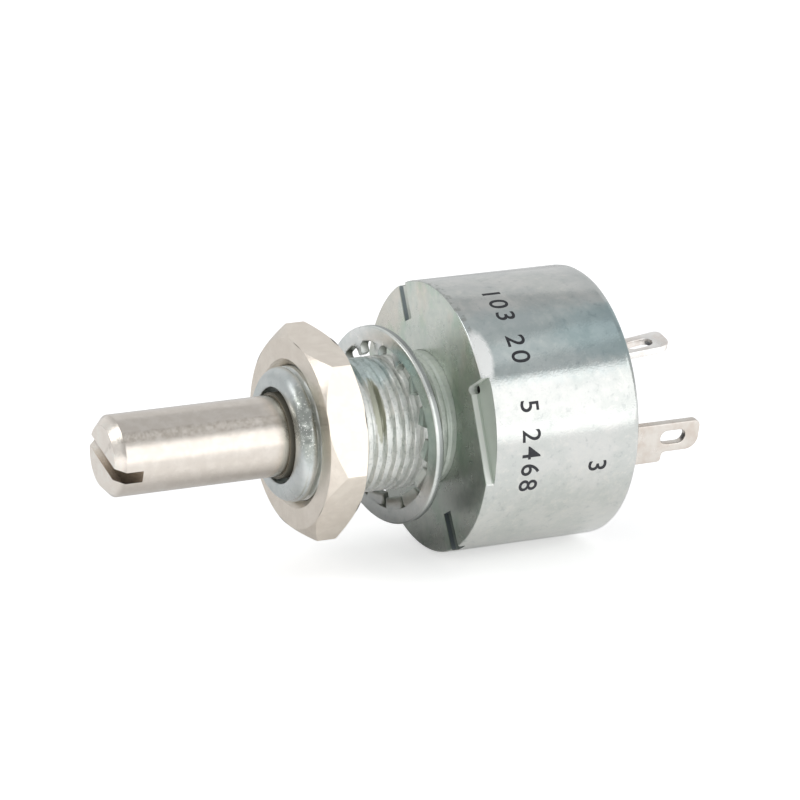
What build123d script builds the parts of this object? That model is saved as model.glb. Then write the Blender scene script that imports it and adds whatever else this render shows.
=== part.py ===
"""A sealed single-turn panel potentiometer with a slotted 6 mm shaft.

All sizes are in millimetres. The shaft lies along +X and +Z is up. The origin is where the
shaft's centre line meets the case's front face, the face that seats against a panel.
Angles round the shaft are measured from straight up (0) through +Y (90) to straight down (180).
"""
from build123d import *
from math import asin, cos, degrees, hypot, radians, sin, tan
import os

# Shaft
SHAFT_D = 6.0
SHAFT_REACH = 26.0            # mounting face to the tip
TIP_CHAMFER = 0.7
JOURNAL_STEP = 0.175          # how much larger in radius the shaft is where it turns in the bushing
JOURNAL_STAND = 0.1           # how far the journal stands out of the bushing
SLOT_WIDTH = 0.95
SLOT_DEPTH = 2.0
SLOT_ANGLE = 110.0            # the slot's direction at mid travel
SPIGOT_D = 4.4                # the stepped-down end that carries the rotor
SPIGOT_FLAT = 1.7             # centre line to the spigot's flat
PIVOT_D = 2.4                 # the rear pin that turns in the base
PIVOT_DEPTH = 1.6             # how far the pin reaches into the base
TRAVEL = 300.0                # mechanical travel in degrees

# Threaded bushing, nut and lock washer
BUSHING_D = 10.0
BUSHING_REACH = 12.4          # mounting face to the nose
NOSE_CHAMFER = 0.45
MOUTH_D = 7.05
MOUTH_DEPTH = 1.3
FLANGE_WIDTH = 0.9            # radial width of the staked flange behind the case wall
FLANGE_THICK = 0.7
NUT_ACROSS = 14.0
NUT_THICK = 3.0
NUT_SET = 1.25                # how far the nut's outer face sits behind the nose
NUT_ANGLE = 71.0              # the direction of one flat
NUT_FRONT_CHAMFER = 43.0      # corner chamfers, measured from the nut's faces
NUT_REAR_CHAMFER = 30.0
NUT_FACE_D = 14.1             # the flat ring left inside the nut's corner chamfer
WASHER_D = 14.9
WASHER_RIM = 1.15             # radial width of the plain rim
WASHER_THICK = 0.65
WASHER_AT = 3.53              # mounting face to the washer's middle
WASHER_DROP = (0.1, -0.18)    # how the loose washer hangs on the thread, across and up
WASHER_TILT = 7.4             # and how it leans back on the +Y side
WASHER_NOD = 2.7              # and back at the bottom
WASHER_TEETH = 15
TOOTH_ROOT = 1.8
TOOTH_TIP = 1.25
TOOTH_TWIST = -22.0
TOOTH_CLEARANCE = 0.42        # tooth tips to the thread's crests

# Shaft seal in the bushing
SEAL_CORD = 0.7
SEAL_AT = 2.0

# Case
CASE_D = 20.34
CASE_DEPTH = 12.6
CASE_WALL = 0.95
FACE_WALL = 1.8
FACE_EDGE = 0.15              # the fine break on the front edge
RIM_ROUND = 0.8               # the rolled rear rim, turned in three flats
LIP_WIDTH = 0.45              # how far the rolled lip covers the base
LIP_THICK = 0.5
NOTCH_WIDTH = 1.2
NOTCH_DEPTH = 0.6
NOTCH_REACH = 2.8             # from the case's edge in to the notch's end
NOTCH_ANGLES = (336.0, 152.0)
RECESS_DEPTH = 0.65
RECESS_START = 61.0           # the recess's short radial wall
RECESS_END = 107.0            # where its long straight wall meets the rim
RECESS_REACH = 2.17           # length of the short wall
KEY_HOLE_D = 0.6
KEY_HOLE_DEPTH = 1.0

# Travel stop
STOP_PIN_D = 1.2
STOP_PIN_REACH = 1.9          # how far the pin stands in from the spacer ring
STOP_ANGLE = 194.0
STOP_PLAY = 1.5               # degrees left between tab and pin at each end

# Retaining parts on the shaft, and the rotor
THRUST_THICK = 0.3
CLIP_THICK = 0.5
CLIP_WIDTH = 1.2              # radial stand of the clip above the shaft
CLIP_GROOVE = 0.5
CLIP_GAP_ANGLE = 70.0
ROTOR_GAP = 0.6               # spacer ring to the rotor's edge
HUB_WALL = 1.5                # round the spigot
HUB_STEP = 0.65
ROTOR_DISC = 1.55
TAB_REACH = 1.3
TAB_WIDTH = 1.3
STAKE_D = 0.8
STAKE_HEAD = 0.25

# Wiper
SHEET = 0.2
WIPER_SPACE = 2.0             # rotor to substrate
FINGER_RUN = 3.2
FINGER_GAP = 0.12
CONTACT_GAP = 0.05

# Substrate and its printed tracks
SUBSTRATE_GAP = 0.12          # substrate's edge to the case bore
SUBSTRATE_THICK = 1.0
FILM = 0.05
LEAD_WIDTH = 1.0
TRACK_WIDTH = 1.1
COLLECTOR_WIDTH = 0.8
PRINT_GAP = 0.4               # between the track and the leads
TRACK_ANGLE = 310.0
PAD_ANGLE = 7.0

# Solder lugs, one value for each lug
LUG_ANGLES = (284.0, 14.0, 104.0)
LUG_PLACES = (0.868, 0.461, 0.868)  # each outer face as a share of the case's inner radius
LUG_SHIFTS = (-0.12, 1.0, 0.12)  # how far each stands aside
LUG_SIDES = (-1, -1, 1)       # which side of the root is stepped
LUG_BENDS = (0.0, 8.0, 0.0)   # outward bend behind the case
LUG_THICK = 0.6
LUG_WIDTH = 3.2
LUG_NECK = 2.4
LUG_REACH = 6.2               # out of the case's rear
LUG_STEP_REACH = 3.2          # where the wide root ends
LUG_CORNERS = (0.55, 1.0)     # the tip's two roundings, going round with the angle
EYE_LENGTH = 2.1
EYE_WIDTH = 1.1
EYE_REACH = 4.0               # case's rear to the eye's middle
FOOT_REACH = 2.0              # how far the lug's foot reaches inward
BEND_R = 0.5
RIVET_D = 0.7
RIVET_HEAD_D = 1.1
RIVET_HEAD = 0.25

# Base, seals and spacer
RESIN_DEPTH = 0.6
RESIN_STAND = 0.2
BASE_SEAL_CORD = 0.6
SPACER_WALL = 0.65

# Clearances
FIT = 0.05                    # between parts that drop into each other
RUN = 0.03                    # radial, for parts that turn or slide on each other
END_PLAY = 0.05

shaft_r = SHAFT_D / 2
journal_r = shaft_r + JOURNAL_STEP
case_r = CASE_D / 2
case_bore_r = case_r - CASE_WALL
bushing_r = BUSHING_D / 2
spacer_bore_r = case_bore_r - FIT - SPACER_WALL
rotor_r = spacer_bore_r - ROTOR_GAP
spigot_r = SPIGOT_D / 2
pivot_r = PIVOT_D / 2
middle_angle = LUG_ANGLES[1]
nut_face = BUSHING_REACH - NUT_SET

# Places along the shaft, from the case wall rearward
flange_back = -(FACE_WALL + FLANGE_THICK)
thrust_front = flange_back - END_PLAY
clip_front = thrust_front - THRUST_THICK
rotor_front = clip_front - CLIP_THICK
disc_front = rotor_front - HUB_STEP
rotor_back = disc_front - ROTOR_DISC
substrate_front = rotor_back - WIPER_SPACE
substrate_back = substrate_front - SUBSTRATE_THICK
base_back = -(CASE_DEPTH - LIP_THICK)
well_front = base_back + RESIN_DEPTH

# Radii of the lugs, their rivets and the printed films
lug_r = [case_bore_r * share for share in LUG_PLACES]
rivet_r = [outer - LUG_THICK - RIVET_HEAD_D / 2 - FIT for outer in lug_r]
lead_in_r = rivet_r[0] - LEAD_WIDTH / 2
track_out_r = lead_in_r - PRINT_GAP
track_in_r = track_out_r - TRACK_WIDTH
collector_out_r = hypot(rivet_r[1], LUG_SHIFTS[1]) - RIVET_HEAD_D / 2
collector_in_r = collector_out_r - COLLECTOR_WIDTH


def point(r, angle):
    """Across and up coordinates of a point at a radius and an angle round the shaft."""
    return r * sin(radians(angle)), r * cos(radians(angle))


def turned(*outline):
    """A solid turned about the shaft line from (x, radius) corners."""
    return revolve(Plane.XZ * make_face(Polyline(*outline, close=True)), Axis.X)


def ring(front, back, outer_r, inner_r=0.0):
    """A plain ring or disc between two places along the shaft."""
    sketch = Circle(outer_r)
    if inner_r > 0:
        sketch -= Circle(inner_r)
    return extrude(Plane.YZ.offset(back) * sketch, front - back)


def sector(inner_r, outer_r, start, end):
    """A flat ring sector between two angles, drawn across the shaft."""
    middle = (start + end) / 2
    first, last = point(outer_r, start), point(outer_r, end)
    inner_first, inner_last = point(inner_r, start), point(inner_r, end)
    outline = Curve() + [
        ThreePointArc(first, point(outer_r, middle), last),
        Line(last, inner_last),
        ThreePointArc(inner_last, point(inner_r, middle), inner_first),
        Line(inner_first, first),
    ]
    return make_face(outline)


def facing(angle, r=0.0):
    """A plane square to the radius at an angle: local x runs round, local y runs rearward."""
    across, up = point(1.0, angle)
    return Plane(origin=(0, r * across, r * up), x_dir=(0, up, -across), z_dir=(0, across, up))


def post(x, place, diameter, length):
    """A round post parallel to the shaft, starting at x and reaching toward the front."""
    return extrude(Plane.YZ.offset(x) * Pos(*place) * Circle(diameter / 2), length)


def seal_ring(x, outer_r, cord):
    """A rubber ring in its groove, with the flats that its walls press into it."""
    section = Pos(x, outer_r - cord / 2) * Rot(0, 0, 22.5) * RegularPolygon(cord / 2, 8, major_radius=False)
    return revolve(Plane.XZ * section, Axis.X)


def case():
    """The cup: front wall with its notches, round wall and rear rim rolled over the base."""
    back = -CASE_DEPTH
    rim = [
        (back + RIM_ROUND * (1 - sin(radians(turn))), case_r - RIM_ROUND * (1 - cos(radians(turn))))
        for turn in (0, 30, 60, 90)
    ]
    cup = turned(
        (0, bushing_r), (0, case_r - FACE_EDGE), (-FACE_EDGE, case_r), *rim,
        (back, case_bore_r - LIP_WIDTH), (base_back, case_bore_r - LIP_WIDTH), (base_back, case_bore_r),
        (-FACE_WALL, case_bore_r), (-FACE_WALL, bushing_r),
    )
    for angle in NOTCH_ANGLES:
        cup -= notch(angle)
    for turn in (0, 180):
        cup -= recess(turn)
    return cup


def notch(angle):
    """A straight radial slot from inside the front face out through the rim."""
    slot = Rectangle(NOTCH_WIDTH, 2 * NOTCH_REACH, align=(Align.CENTER, Align.MIN))
    placed = Rot(0, 0, -angle) * Pos(0, case_r - NOTCH_REACH) * slot
    return extrude(Plane.YZ.offset(-NOTCH_DEPTH) * placed, NOTCH_DEPTH)


def recess(turn):
    """A shallow side recess: short radial wall, long straight wall and a hole in its corner."""
    inner_r = case_r - RECESS_REACH
    corner = point(inner_r, RECESS_START + turn)
    outline = Polyline(
        corner,
        point(case_r * 1.3, RECESS_START + turn),
        point(case_r * 1.3, RECESS_END + turn),
        point(case_r, RECESS_END + turn),
        close=True,
    )
    hole_angle = RECESS_START + turn + degrees(asin(KEY_HOLE_D / 2 / inner_r))
    hole = post(-KEY_HOLE_DEPTH, point(inner_r, hole_angle), KEY_HOLE_D, KEY_HOLE_DEPTH)
    return extrude(Plane.YZ.offset(-RECESS_DEPTH) * make_face(outline), RECESS_DEPTH) + hole


def bushing():
    """The threaded bushing: plain here at its crests, with a mouth, a bore and a rear flange."""
    bore_r = journal_r + RUN
    flange_r = bushing_r + FLANGE_WIDTH
    return turned(
        (BUSHING_REACH, MOUTH_D / 2), (BUSHING_REACH, bushing_r - NOSE_CHAMFER),
        (BUSHING_REACH - NOSE_CHAMFER, bushing_r), (-FACE_WALL, bushing_r),
        (-FACE_WALL, flange_r), (flange_back, flange_r), (flange_back, bore_r),
        (BUSHING_REACH - MOUTH_DEPTH, bore_r), (BUSHING_REACH - MOUTH_DEPTH, MOUTH_D / 2),
    )


def hex_nut():
    """The panel nut: a hexagon with its corners chamfered on both faces."""
    back = nut_face - NUT_THICK
    corner_r = NUT_ACROSS / 2 / cos(radians(30))
    cut = corner_r - NUT_FACE_D / 2
    front_fall = cut * tan(radians(NUT_FRONT_CHAMFER))
    rear_fall = cut * tan(radians(NUT_REAR_CHAMFER))
    hexagon = Rot(0, 0, -NUT_ANGLE) * RegularPolygon(corner_r, 6, major_radius=True)
    blank = extrude(Plane.YZ.offset(back) * hexagon, NUT_THICK)
    bore_r = bushing_r + RUN
    lead = NOSE_CHAMFER
    envelope = turned(
        (back, bore_r + lead), (back, NUT_FACE_D / 2), (back + rear_fall, corner_r),
        (nut_face - front_fall, corner_r), (nut_face, NUT_FACE_D / 2), (nut_face, bore_r + lead),
        (nut_face - lead, bore_r), (back + lead, bore_r),
    )
    return blank & envelope


def lock_washer():
    """The internal-tooth washer: a flat rim with tapered blades twisted about their own radii."""
    half = WASHER_THICK / 2
    rim_in = WASHER_D / 2 - WASHER_RIM
    tooth_in = bushing_r + TOOTH_CLEARANCE
    washer = ring(half, -half, WASHER_D / 2, rim_in)
    length = rim_in - tooth_in + WASHER_RIM / 4
    tip, root = TOOTH_TIP / 2, TOOTH_ROOT / 2
    outline = Polyline((-tip, 0), (tip, 0), (root, length), (-root, length), close=True)
    blade = extrude(Plane.XZ * make_face(outline), half, both=True)
    for step in range(WASHER_TEETH):
        place = facing(360 * step / WASHER_TEETH, tooth_in).location
        washer += place * Rot(0, 0, TOOTH_TWIST) * blade
    return Pos(WASHER_AT, *WASHER_DROP) * Rot(0, WASHER_NOD, WASHER_TILT) * washer


def shaft():
    """The turned shaft with its screwdriver slot, seal groove, clip groove, spigot and pivot."""
    groove_r = journal_r - SEAL_CORD
    groove_half = SEAL_CORD / 2 + FIT
    clip_r = journal_r - CLIP_GROOVE
    pivot_back = substrate_back - PIVOT_DEPTH
    shoulder = BUSHING_REACH + JOURNAL_STAND
    body = turned(
        (SHAFT_REACH, 0), (SHAFT_REACH, shaft_r - TIP_CHAMFER), (SHAFT_REACH - TIP_CHAMFER, shaft_r),
        (shoulder, shaft_r), (shoulder, journal_r),
        (SEAL_AT + groove_half, journal_r), (SEAL_AT + groove_half, groove_r),
        (SEAL_AT - groove_half, groove_r), (SEAL_AT - groove_half, journal_r),
        (clip_front, journal_r), (clip_front, clip_r), (rotor_front, clip_r),
        (rotor_front, spigot_r), (rotor_back, spigot_r),
        (rotor_back, pivot_r), (pivot_back, pivot_r), (pivot_back, 0),
    )
    flat = Rectangle(SPIGOT_D, SPIGOT_D, align=(Align.CENTER, Align.MIN))
    cut = Plane.YZ.offset(rotor_back) * Rot(0, 0, -middle_angle) * Pos(0, SPIGOT_FLAT) * flat
    body -= extrude(cut, rotor_front - rotor_back)
    slot = Plane.YZ.offset(SHAFT_REACH - SLOT_DEPTH) * Rot(0, 0, 90 - SLOT_ANGLE)
    return body - extrude(slot * Rectangle(2 * SHAFT_D, SLOT_WIDTH), SLOT_DEPTH)


def shaft_seal():
    """The rubber O-ring in the shaft's groove."""
    return seal_ring(SEAL_AT, journal_r, SEAL_CORD)


def thrust_washer():
    """The thin washer between the bushing's rear and the clip."""
    return ring(thrust_front, clip_front, journal_r + CLIP_WIDTH, journal_r + FIT)


def retaining_clip():
    """The open spring ring in the shaft's groove, with its gap and rounded ends."""
    groove_r = journal_r - CLIP_GROOVE
    start = STOP_ANGLE + CLIP_GAP_ANGLE / 2
    sketch = sector(groove_r, journal_r + CLIP_WIDTH, start, start + 360 - CLIP_GAP_ANGLE)
    clip = extrude(Plane.YZ.offset(rotor_front) * sketch, CLIP_THICK)
    return fillet(clip.edges().filter_by(Axis.X), CLIP_THICK / 2)


def rotor():
    """The moulded carrier on the spigot: hub, disc, stop tab and the stakes for the wiper."""
    tab_in_r = rotor_r - TAB_WIDTH
    pin_half = degrees(asin(STOP_PIN_D / 2 / tab_in_r))
    tab_half = 180 - TRAVEL / 2 - pin_half - STOP_PLAY
    body = ring(rotor_front, rotor_back, spigot_r + HUB_WALL) + ring(disc_front, rotor_back, rotor_r)
    tab = sector(tab_in_r, rotor_r, middle_angle - tab_half, middle_angle + tab_half)
    body += extrude(Plane.YZ.offset(disc_front) * tab, TAB_REACH)
    square = Rectangle(2 * SPIGOT_D, 2 * SPIGOT_D)
    bore = Circle(spigot_r) & Pos(0, SPIGOT_FLAT - SPIGOT_D) * square
    placed = Plane.YZ.offset(rotor_back) * Rot(0, 0, -middle_angle) * bore
    body -= extrude(placed, rotor_front - rotor_back)
    for place in stake_places():
        body += stake(place, STAKE_D, SHEET) + stake(place, STAKE_D + 2 * STAKE_HEAD, STAKE_HEAD, SHEET)
    return body


def stake_places():
    """The wiper's two stakes, each as (round the shaft, outward) from the centre line."""
    side = -(pivot_r + spigot_r - FIT)
    return [(side, -STAKE_D * 1.4), (side, STAKE_D * 1.4)]


def stake(place, diameter, length, start=0.0):
    """A round stake from the rotor's rear face, or a hole of the same size."""
    spot = Plane.YZ.offset(rotor_back - start - length) * Rot(0, 0, -middle_angle)
    return extrude(spot * Pos(*place) * Circle(diameter / 2), length)


def wiper():
    """The spring contact: a staked plate and two sets of fingers, one for each track."""
    outer = track_out_r - FINGER_GAP
    inner = collector_out_r - FINGER_GAP
    plate = Circle(2 * pivot_r) + Pos(-FINGER_RUN / 2, 0) * Rectangle(FINGER_RUN, 4.4 * STAKE_D)
    plate += Pos(-FINGER_RUN, (outer - inner) / 2) * Rectangle(4 * SHEET, outer + inner)
    plate -= Circle(pivot_r + FIT)
    sheet = Plane.YZ.offset(rotor_back - SHEET) * Rot(0, 0, -middle_angle)
    contact = extrude(sheet * plate, SHEET)
    for place in stake_places():
        contact -= stake(place, STAKE_D, SHEET)
    contact += fingers(middle_angle, track_in_r + FINGER_GAP, outer, 3, 1)
    contact += fingers(middle_angle + 180, collector_in_r + FINGER_GAP, inner, 2, -1)
    return contact


def fingers(angle, inner, outer, count, way):
    """Bent fingers side by side; each slopes to its track and curls up at the contact."""
    top = -rotor_back
    low = -substrate_front - FILM - CONTACT_GAP
    curl = SHEET * 2
    spine = [
        (-FINGER_RUN, top), (-FINGER_RUN + curl, top), (-curl, low - SHEET - curl / 4),
        (0, low - SHEET), (curl, low - SHEET - curl),
    ]
    outline = [(way * s, depth) for s, depth in spine]
    outline += [(way * s, depth + SHEET) for s, depth in reversed(spine)]
    pitch = (outer - inner + FINGER_GAP) / count
    group = Part()
    for step in range(count):
        profile = facing(angle, inner + step * pitch) * make_face(Polyline(*outline, close=True))
        group += extrude(profile, pitch - FINGER_GAP)
    return group


def stop_pin():
    """The radial steel pin through the spacer ring that ends the travel."""
    tip_r = spacer_bore_r - STOP_PIN_REACH
    seat = facing(STOP_ANGLE, tip_r) * Pos(0, -(flange_back + disc_front) / 2)
    return extrude(seat * Circle(STOP_PIN_D / 2), SPACER_WALL + STOP_PIN_REACH - FIT)


def spacer_ring():
    """The ring that sets the substrate's distance from the front wall and holds the stop pin."""
    body = ring(-FACE_WALL, substrate_front, spacer_bore_r + SPACER_WALL, spacer_bore_r)
    return body - stop_pin()


def rivet_place(index):
    """Across and up coordinates of a lug's rivet."""
    place = facing(LUG_ANGLES[index], rivet_r[index]).from_local_coords((LUG_SHIFTS[index], 0, 0))
    return place.Y, place.Z


def rivet_holes(front, back):
    """Round holes at the three rivets between two places along the shaft."""
    holes = Part()
    for index in range(len(LUG_ANGLES)):
        holes += post(back, rivet_place(index), RIVET_D, front - back)
    return holes


def substrate():
    """The ceramic disc with its pivot hole and rivet holes."""
    disc = ring(substrate_front, substrate_back, case_bore_r - SUBSTRATE_GAP, pivot_r + FIT)
    return disc - rivet_holes(substrate_front, substrate_back)


def film(sketch):
    """A printed film of even thickness on the substrate's front."""
    return extrude(Plane.YZ.offset(substrate_front) * sketch, FILM)


def resistance_track():
    """The resistive arc, centred opposite its gap."""
    half = TRACK_ANGLE / 2
    return film(sector(track_in_r, track_out_r, middle_angle - half, middle_angle + half))


def collector_track():
    """The closed inner ring with the pad that joins it to the middle lug's rivet."""
    circle = Circle(collector_out_r) - Circle(collector_in_r)
    pad = Pos(*rivet_place(1)) * Circle(RIVET_HEAD_D / 2 + 2 * FIT)
    return film(circle + pad) - rivet_holes(substrate_front + FILM, substrate_front)


def end_leads():
    """Two silver leads from the arc's ends round the rim to the outer lugs' rivets."""
    leads = Part()
    half = TRACK_ANGLE / 2
    lead_out_r = lead_in_r + LEAD_WIDTH
    for side, index, angle in ((-1, 0, LUG_ANGLES[0] - 360), (1, 2, LUG_ANGLES[2])):
        end = middle_angle + side * half
        beyond = end + side * PAD_ANGLE
        lead = sector(track_in_r, lead_out_r, *sorted((end, beyond)))
        lead += sector(lead_in_r, lead_out_r, *sorted((angle, beyond)))
        lead += Pos(*rivet_place(index)) * Circle(RIVET_HEAD_D / 2)
        leads += film(lead)
    return leads - rivet_holes(substrate_front + FILM, substrate_front)


def lug_blank(index):
    """One solder lug: a foot on the substrate, a bend, and a stepped blade with an oblong eye."""
    outer_r = lug_r[index]
    foot = -substrate_back
    tip = CASE_DEPTH + LUG_REACH
    rise = LUG_REACH * tan(radians(LUG_BENDS[index]))
    corners = [
        (outer_r, foot), (outer_r, CASE_DEPTH), (outer_r + rise, tip),
        (outer_r + rise - LUG_THICK, tip), (outer_r - LUG_THICK, CASE_DEPTH),
        (outer_r - LUG_THICK, foot + LUG_THICK), (outer_r - FOOT_REACH, foot + LUG_THICK),
        (outer_r - FOOT_REACH, foot),
    ]
    side_face = make_face(Polyline(*corners, close=True))
    heel = side_face.vertices().sort_by_distance((outer_r, foot))[0]
    side_face = fillet(heel, BEND_R)
    strip = extrude(side_face, LUG_WIDTH / 2, both=True)
    across, up = point(1.0, LUG_ANGLES[index])
    middle = (0, LUG_SHIFTS[index] * up, -LUG_SHIFTS[index] * across)
    strip = Plane(origin=middle, x_dir=(0, across, up), z_dir=(0, -up, across)) * strip
    outline = Pos(LUG_SHIFTS[index], 0) * lug_outline(LUG_SIDES[index])
    return strip & extrude(facing(LUG_ANGLES[index]) * outline, case_r)


def lug_outline(side):
    """A lug's flat outline, with its step on the given side."""
    half = LUG_WIDTH / 2
    foot = -substrate_back
    step = CASE_DEPTH + LUG_STEP_REACH
    tip = CASE_DEPTH + LUG_REACH
    corners = [
        (-half, foot), (half, foot), (half, step), (LUG_NECK - half, step),
        (LUG_NECK - half, tip), (-half, tip),
    ]
    outline = make_face(Polyline(*[(side * across, depth) for across, depth in corners], close=True))
    tip_corners = outline.vertices().sort_by(Axis.Y)[-2:].sort_by(Axis.X)
    for corner, size in zip(tip_corners, LUG_CORNERS):
        outline = fillet(outline.vertices().sort_by_distance(corner)[0], size)
    eye = Rot(0, 0, 90) * SlotOverall(EYE_LENGTH, EYE_WIDTH)
    return outline - Pos(side * (LUG_NECK / 2 - half), CASE_DEPTH + EYE_REACH) * eye


def terminal(index):
    """One lug with its rivet hole."""
    hole = post(substrate_back - LUG_THICK, rivet_place(index), RIVET_D, LUG_THICK)
    return lug_blank(index) - hole


def rivets():
    """Three rivets that clamp lug, substrate and film together."""
    group = Part()
    front = substrate_front + FILM
    back = substrate_back - LUG_THICK
    for index in range(len(LUG_ANGLES)):
        place = rivet_place(index)
        group += post(back, place, RIVET_D, front - back)
        group += post(front, place, RIVET_HEAD_D, RIVET_HEAD)
        group += post(back - RIVET_HEAD, place, RIVET_HEAD_D, RIVET_HEAD)
    return group


def base():
    """The moulded base round the lugs, with its pivot pocket, seal groove and resin well."""
    outer_r = case_bore_r - FIT
    body = ring(substrate_back, base_back, outer_r)
    body -= ring(well_front, base_back, outer_r - LIP_WIDTH)
    body -= ring(substrate_back, substrate_back - PIVOT_DEPTH - END_PLAY, pivot_r + RUN)
    groove_half = BASE_SEAL_CORD / 2 + FIT
    seal = base_seal_place()
    body -= ring(seal + groove_half, seal - groove_half, outer_r, outer_r - BASE_SEAL_CORD)
    head_back = substrate_back - LUG_THICK - RIVET_HEAD
    for index in range(len(LUG_ANGLES)):
        body -= lug_blank(index)
        body -= post(head_back, rivet_place(index), RIVET_HEAD_D, RIVET_HEAD)
    return body


def base_seal_place():
    """The base seal's place, midway between the substrate and the resin well."""
    return (substrate_back + well_front) / 2


def base_seal():
    """The O-ring between the base and the case wall."""
    return seal_ring(base_seal_place(), case_bore_r - FIT, BASE_SEAL_CORD)


def sealing_resin():
    """The poured disc that seals the lugs into the base's well."""
    resin = ring(well_front, base_back - RESIN_STAND, case_bore_r - FIT - LIP_WIDTH)
    for index in range(len(LUG_ANGLES)):
        resin -= lug_blank(index)
    return resin


nodes = {
    "case": case(),
    "bushing": bushing(),
    "hex_nut": hex_nut(),
    "lock_washer": lock_washer(),
    "shaft": shaft(),
    "shaft_seal": shaft_seal(),
    "thrust_washer": thrust_washer(),
    "retaining_clip": retaining_clip(),
    "rotor": rotor(),
    "wiper": wiper(),
    "stop_pin": stop_pin(),
    "spacer_ring": spacer_ring(),
    "substrate": substrate(),
    "resistance_track": resistance_track(),
    "collector_track": collector_track(),
    "end_leads": end_leads(),
    "terminal_1": terminal(0),
    "terminal_2": terminal(1),
    "terminal_3": terminal(2),
    "terminal_rivets": rivets(),
    "base": base(),
    "base_seal": base_seal(),
    "sealing_resin": sealing_resin(),
}

os.makedirs("parts", exist_ok=True)
for name, solid in nodes.items():
    export_step(solid, f"parts/{name}.step")
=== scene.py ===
from collections import namedtuple
from math import asin, cos, degrees, floor, pi, radians, sin, sqrt, tan

import bmesh
import bpy
from mathutils import Matrix, Vector, noise


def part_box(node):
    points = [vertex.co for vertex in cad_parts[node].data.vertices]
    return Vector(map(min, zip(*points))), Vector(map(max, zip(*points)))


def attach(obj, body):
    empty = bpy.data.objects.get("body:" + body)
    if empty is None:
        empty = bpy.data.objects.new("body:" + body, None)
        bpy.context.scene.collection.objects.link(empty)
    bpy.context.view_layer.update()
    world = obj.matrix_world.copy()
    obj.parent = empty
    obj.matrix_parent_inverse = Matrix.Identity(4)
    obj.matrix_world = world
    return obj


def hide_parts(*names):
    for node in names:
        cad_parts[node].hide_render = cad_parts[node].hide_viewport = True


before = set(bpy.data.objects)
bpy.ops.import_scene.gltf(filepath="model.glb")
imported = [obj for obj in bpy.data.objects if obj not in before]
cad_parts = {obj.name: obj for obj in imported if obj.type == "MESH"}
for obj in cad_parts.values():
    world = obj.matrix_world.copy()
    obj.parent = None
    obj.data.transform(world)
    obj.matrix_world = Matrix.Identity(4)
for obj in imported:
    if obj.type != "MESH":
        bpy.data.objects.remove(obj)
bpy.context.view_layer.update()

MM = 0.001

# A spot on a round piece: its place along the shaft, angle, reach and spread, and how soft its edge is
Spot = namedtuple("Spot", "at angle reach spread soft", defaults=[0.4])

# Sizes in millimetres: +X runs along the shaft to its tip, and angles start at straight up and go over +Y
SEGMENTS = 192
CASE_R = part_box("case")[1].z / MM
CASE_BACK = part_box("case")[0].x / MM
BUSHING_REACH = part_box("bushing")[1].x / MM
SHAFT_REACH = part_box("shaft")[1].x / MM
SHAFT_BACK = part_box("shaft")[0].x / MM
NUT_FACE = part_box("hex_nut")[1].x / MM
NUT_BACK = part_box("hex_nut")[0].x / MM
SUBSTRATE_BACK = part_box("substrate")[0].x / MM

SMOOTH_ANGLE = 38.0                              # edges under this angle are shaded smooth
SHARP_ANGLE = 35.0                               # outward edges over this angle are eased
EASE = 0.05

DIGIT_SIZE = 2.1
PRINT_THICK = 0.015                              # the ink stands this far out of the case's skin
PRINT_SPACING = 1.25
PRINT_BOLD = 0.006
SKIN_R = CASE_R - PRINT_THICK
CASE_BORE_R = 9.22
CASE_FRONT_ROUND = 0.16
CASE_REAR_ROUND = 0.8
FACE_WALL = 1.8
LIP_R = 8.77
LIP_THICK = 0.5
LIP_ROUND = 0.1

BUSHING_R = 5.0
BUSHING_HOLE_R = BUSHING_R + 0.01
THREAD_PITCH = 0.75
THREAD_DEPTH = 0.36
THREAD_CREST = 0.46                              # shares of half a pitch: the flat crest and the flank
THREAD_FLANK = 0.46
THREAD_FADE = 0.9
THREAD_START = 0.3
THREAD_END = BUSHING_REACH - 0.5
THREAD_ROWS = 12                                 # rows of vertices in one turn of the thread
JOURNAL_R = 3.175
JOURNAL_STAND = 0.1
BORE_R = JOURNAL_R + 0.03
MOUTH_R = 3.52
MOUTH_DEPTH = 1.3
MOUTH_ROUND = 0.3
NOSE_ROUND = 1.0
NOSE_NICK = Spot(11.75, 65.0, 0.7, 30.0)
WORN_SPOTS = (Spot(5.4, 22.0, 1.1, 26.0), Spot(6.5, 68.0, 0.8, 34.0))
WORN_FLAT = 0.85                                 # the share of the thread's depth that is lost there
WEAR = 0.012
KNOCK_DEPTH = 0.05
PIT_DEPTH = 0.02
NICK_DEPTH = 0.16
FLANGE_R = 5.9
FLANGE_BACK = -2.5
FLANGE_ROUND = 0.1

SHAFT_R = 3.0
SHAFT_SEGMENTS = 160
TIP_CHAMFER = 0.7
SLOT_WIDTH = 0.95
SLOT_DEPTH = 2.0
SLOT_ANGLE = 110.0
SEAL_GROOVE = (1.6, 2.4, JOURNAL_R - 0.7)        # back, front and floor radius
CLIP_GROOVE = (-3.35, -2.85, JOURNAL_R - 0.5)
ROTOR_SEAT_R = 2.2
ROTOR_SEAT_BACK = -5.55
TAIL_R = 1.2

NUT_APOTHEM = 7.0
NUT_ANGLE = 71.0
NUT_FACE_R = 7.05
NUT_FRONT_CHAMFER = 43.0
NUT_REAR_CHAMFER = 30.0
NUT_CORNER_ROUND = 0.12
NUT_BORE_R = BUSHING_R + 0.03
NUT_COUNTERSINK = 0.5
NUT_EASE = 0.09
NUT_ROWS = 8                                     # rows of vertices over a chamfer, and over the flats
NUT_SIDE_STEPS = 32

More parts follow.
